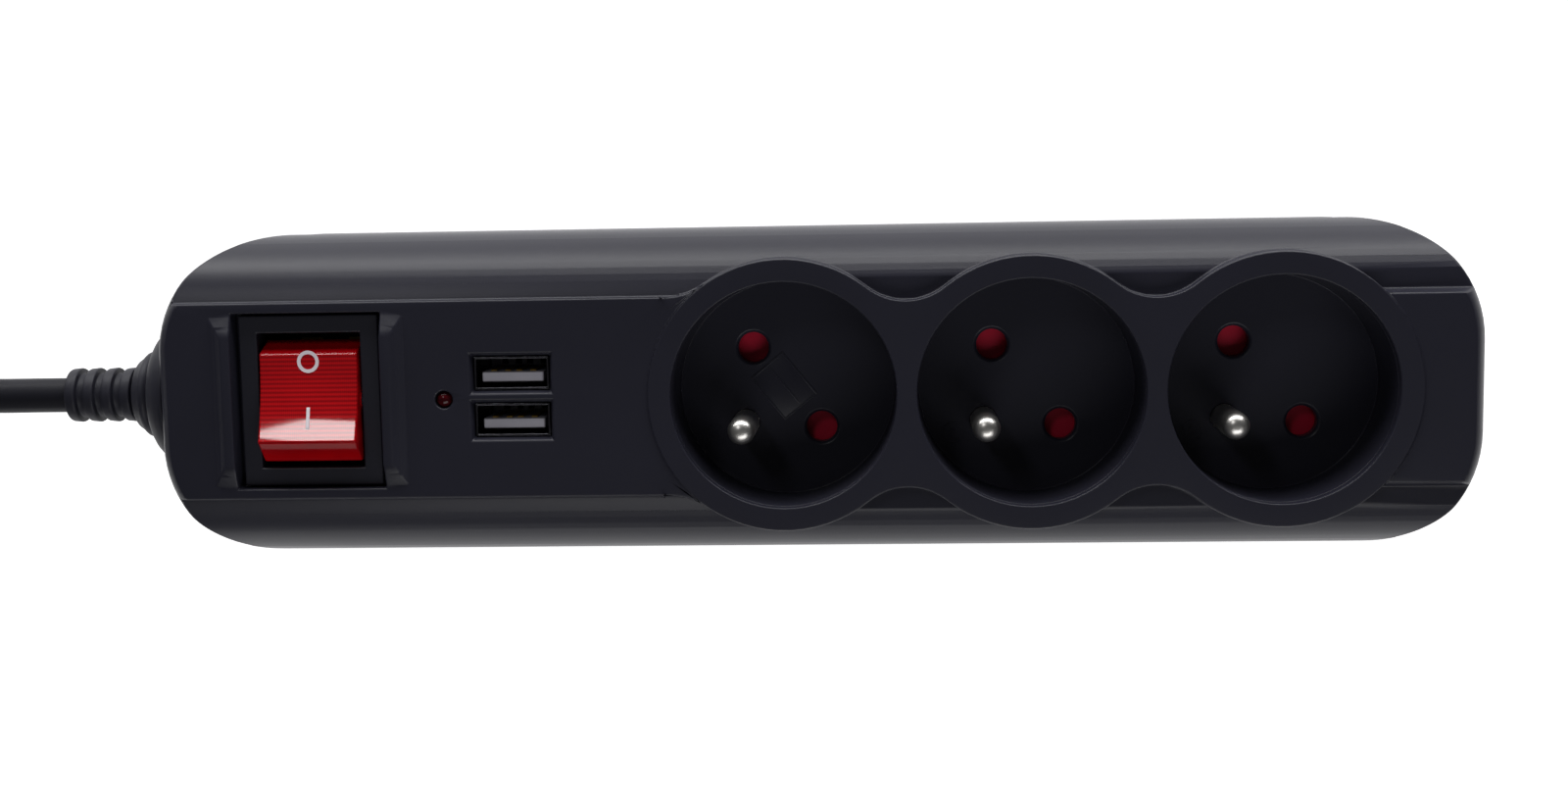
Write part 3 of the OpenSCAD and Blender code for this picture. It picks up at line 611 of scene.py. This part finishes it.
def makeWellPlate():
    # blank raised plate with a thin frame and one rib across
    bm = bmesh.new()
    length, width = wellPlan["plateSize"]
    line = wellPlan["plateFrame"]
    deep = wellPlan["plateThickness"]
    lift = wellPlan["frameLift"]
    blocks = [((0, 0, 0), (length, width, deep))]
    for side in (-1, 1):
        blocks.append(((0, side * (width - line) / 2, lift), (length, line, deep)))
        blocks.append(((side * (length - line) / 2, 0, lift), (line, width - 2 * line, deep)))
    rib = (length - wellPlan["ribInset"], line, wellPlan["ribThickness"])
    blocks.append(((0, wellPlan["ribShift"], lift), rib))
    for centre, size in blocks:
        easedBlock(bm, centre, size, wellPlan["plateEase"])
    turn = Matrix.Rotation(math.radians(wellPlan["plateTurn"]), 4, "Z")
    place = Matrix.Translation(Vector((*wellPlan["plateCentre"], wellPlan["floor"])) * mm)
    bmesh.ops.transform(bm, matrix=place @ turn, verts=bm.verts)
    placePiece("blankPlate", meshFrom("blankPlate", bm), finishes["charcoalAbs"], "strip")


makeWellMarks()
makeWellPlate()

portPlan = {
    "x": -52.3,
    "rows": (-3.75, 4.5),
    "slots": (-3.5, -1, 1, 3.5),
    "slotSize": (1.15, 1.7),
    "slotBack": 1.35,
    "seat": 26.2,
    "faceSize": (10.6, 1.5),
    "faceShift": -0.75,
    "faceTop": 37.4,
    "thickness": 0.12,
    "slotEase": 0.03,
    "faceEase": 0.05,
}


def makePortDetails():
    # dark plates of painted shade for the unlit contact slots in the back of each port, and a pale plate of
    # painted highlight on the nose of each tongue
    slots = bmesh.new()
    litNoses = bmesh.new()
    for y in portPlan["rows"]:
        for x in portPlan["slots"]:
            centre = (portPlan["x"] + x, y + portPlan["slotBack"], portPlan["seat"])
            easedBlock(slots, centre, (*portPlan["slotSize"], portPlan["thickness"]), portPlan["slotEase"])
        centre = (portPlan["x"], y + portPlan["faceShift"], portPlan["faceTop"])
        easedBlock(litNoses, centre, (*portPlan["faceSize"], portPlan["thickness"]), portPlan["faceEase"])
    for name, bm, finish in (("slotShadePlates", slots, "slotShadow"), ("litTongueNoses", litNoses, "litTongueNose")):
        placePiece(name, meshFrom(name, bm), finishes[finish], "strip")


makePortDetails()
print("well and port details ready")


cordPlan = {
    "diameter": 6.4,
    "length": 1500,
    "exit": (-137.5, 0, 24),
    "columns": (19.2, 25.6),
    "layers": (16.7, 10.3, 3.9),
    "nearEnd": -190.8,
    "farEnd": -252.6,
    "lead": [
        (-122, 0, 24), (-130, 0, 24), (-137.5, 0, 24), (-145, 0, 24), (-153, 0, 23.9), (-160, 0.3, 23.6),
        (-167, 1.5, 23.1), (-174, 3.8, 22.4), (-182, 7.5, 21.2), (-190, 11.8, 19.8), (-198, 15.5, 18.4),
        (-206, 18, 17.3), (-215, 19.2, 16.7),
    ],
    "tail": [
        (-252.6, 25.6, 3.9), (-259, 25.6, 3.8), (-266, 25, 3.6), (-273, 23, 3.5), (-280, 19.6, 3.6),
        (-287, 15.4, 4.2), (-294, 12.2, 5.4), (-301, 10.5, 6.6), (-308, 10, 7.2), (-318, 10, 7.2),
        (-329, 10, 7.2),
    ],
    "shiftLength": 29.8,
    "shiftStep": 8,
    "turnPoints": 12,
    "runStep": 6.2,
    "firstRun": (-222, -229, -236, -244),
    "roundSteps": 5,
    "lengthSteps": 3,
}


def smoothShare(t):
    t = min(max(t, 0), 1)
    return t * t * (3 - 2 * t)


def turnPoints(centre, radius, height, startAngle):
    # half a turn, counter-clockwise, without its two end points
    count = cordPlan["turnPoints"]
    angles = [math.radians(startAngle + 180 * i / count) for i in range(1, count)]
    return [(centre + radius * math.cos(a), radius * math.sin(a), height) for a in angles]


def hankPoints():
    # laps of the tied hank, each crossing to the next seat along its near side
    inner, outer = cordPlan["columns"]
    top, middle, bottom = cordPlan["layers"]
    seats = [(inner, top), (outer, top), (outer, middle), (inner, middle), (inner, bottom), (outer, bottom)]
    near = cordPlan["nearEnd"]
    far = cordPlan["farEnd"]
    steps = round((near - far) / cordPlan["runStep"])
    route = [(x, inner, top) for x in (*cordPlan["firstRun"], far)]
    for lap, ((radius, height), (nextRadius, nextHeight)) in enumerate(zip(seats, seats[1:])):
        route += turnPoints(far, radius, height, 90)
        begin = far + cordPlan["shiftStep"] * (len(seats) - 2 - lap)
        for i in range(steps + 1):
            x = far + (near - far) * i / steps
            share = smoothShare((x - begin) / cordPlan["shiftLength"])
            side = -radius - (nextRadius - radius) * share
            route.append((x, side, height + (nextHeight - height) * share))
        route += turnPoints(near, nextRadius, nextHeight, -90)
        lastLap = lap == len(seats) - 2
        backPoints = steps + (not lastLap)
        route += [(near + (far - near) * i / steps, nextRadius, nextHeight) for i in range(backPoints)]
    return route


def makeCord():
    route = [Vector(p) * mm for p in cordPlan["lead"] + hankPoints() + cordPlan["tail"]]
    curve = bpy.data.curves.new("powerCord", "CURVE")
    curve.dimensions = "3D"
    curve.bevel_depth = cordPlan["diameter"] / 2 * mm
    curve.bevel_resolution = cordPlan["roundSteps"]
    curve.resolution_u = cordPlan["lengthSteps"]
    curve.use_fill_caps = True
    spline = curve.splines.new("BEZIER")
    spline.bezier_points.add(len(route) - 1)
    for point, place in zip(spline.bezier_points, route):
        point.co = place
        point.handle_left_type = "AUTO"
        point.handle_right_type = "AUTO"
    curve.materials.append(finishes["cordPvc"])
    piece = addObject("powerCord", curve)
    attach(piece, "strip")
    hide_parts("power_cord", "cord_hank", "cord_tail")
    return piece


cordPiece = makeCord()
pieces["cordTie"] = softCopy("cordTie", "cord_tie", 0.2)
print("cord ready")


stagePlan = {
    "floorSize": 6.0,
    "floorColor": "#f4f4f4",
    "floorGlow": 0.85,
    "floorRough": 0.9,
    "worldColor": "#ffffff",
    "worldLight": 0.05,
    "lights": {
        # long low softbox behind the far side: the bright band along the shoulder
        "sideSoftbox": {
            "place": (0.0, 0.95, 0.22), "aim": (0, 0, 0.03),
            "size": (2.0, 0.30), "power": 16,
        },
        # wide softbox on the near side, high up: even tone on flat faces and the far walls of the wells
        "nearSoftbox": {
            "place": (0.2, -0.85, 0.9), "aim": (0, 0, 0),
            "size": (1.3, 0.6), "power": 6,
        },
        # small bright card whose image lies on the raised end of the glossy rocker
        "glossCard": {
            "place": (-0.37, 0.53, 0.8), "aim": (-0.0885, -0.005, 0.041),
            "size": (0.13, 0.25), "power": 0.85,
        },
    },
}


def makeFloor():
    bm = bmesh.new()
    bmesh.ops.create_grid(bm, x_segments=1, y_segments=1, size=stagePlan["floorSize"] / 2)
    mesh = bpy.data.meshes.new("floor")
    bm.to_mesh(mesh)
    bm.free()
    floor = addObject("floor", mesh)
    material = bpy.data.materials.new("paperSweep")
    material.use_nodes = True
    shader = material.node_tree.nodes["Principled BSDF"]
    color = linearColor(stagePlan["floorColor"])
    shader.inputs["Base Color"].default_value = color
    shader.inputs["Roughness"].default_value = stagePlan["floorRough"]
    shader.inputs["Emission Color"].default_value = color
    shader.inputs["Emission Strength"].default_value = stagePlan["floorGlow"]
    mesh.materials.append(material)


def makeLights():
    for name, plan in stagePlan["lights"].items():
        data = bpy.data.lights.new(name, "AREA")
        data.shape = "RECTANGLE"
        data.size, data.size_y = plan["size"]
        data.energy = plan["power"]
        light = addObject(name, data)
        light.location = plan["place"]
        direction = Vector(plan["aim"]) - Vector(plan["place"])
        light.rotation_euler = direction.to_track_quat("-Z", "Y").to_euler()
    world = bpy.data.worlds.new("world")
    world.use_nodes = True
    background = world.node_tree.nodes["Background"]
    background.inputs["Color"].default_value = linearColor(stagePlan["worldColor"])
    background.inputs["Strength"].default_value = stagePlan["worldLight"]
    bpy.context.scene.world = world
    bpy.context.scene.view_settings.view_transform = "Standard"


makeFloor()
makeLights()
print("stage ready")
